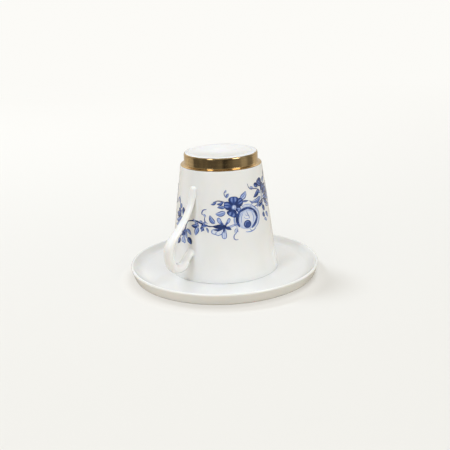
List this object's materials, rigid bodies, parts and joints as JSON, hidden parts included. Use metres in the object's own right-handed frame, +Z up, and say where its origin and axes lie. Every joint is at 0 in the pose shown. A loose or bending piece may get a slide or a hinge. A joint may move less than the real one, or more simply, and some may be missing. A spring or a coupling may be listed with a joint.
{
  "type": "cup and saucer",
  "caption": "Tall tapered porcelain coffee cup with an ear handle, gilded stepped foot and blue flower garland, standing upside down on its low-rimmed saucer.",
  "frame": {"origin": "middle of the saucer's foot ring, on the table", "axes": "+Z up through the cup's axis, -X towards the handle"},
  "size_m": [0.1226, 0.1226, 0.0824],
  "materials": {
    "saucer_glaze": "clear gloss glaze on white porcelain",
    "cup_glaze": "clear gloss glaze on white porcelain, with a cobalt blue garland",
    "fired_gold": "bright fired gold"
  },
  "bodies": {
    "saucer": {"saucer": "saucer_glaze"},
    "cup": {"cup_body": "cup_glaze", "cup_handle": "cup_glaze", "gold_foot_band": "fired_gold"}
  },
  "joints": [
    {"name": "cup_lift", "type": "slide", "parent": "saucer", "child": "cup", "axis": [0, 0, 1], "range_m": [0, 0.1]}
  ]
}
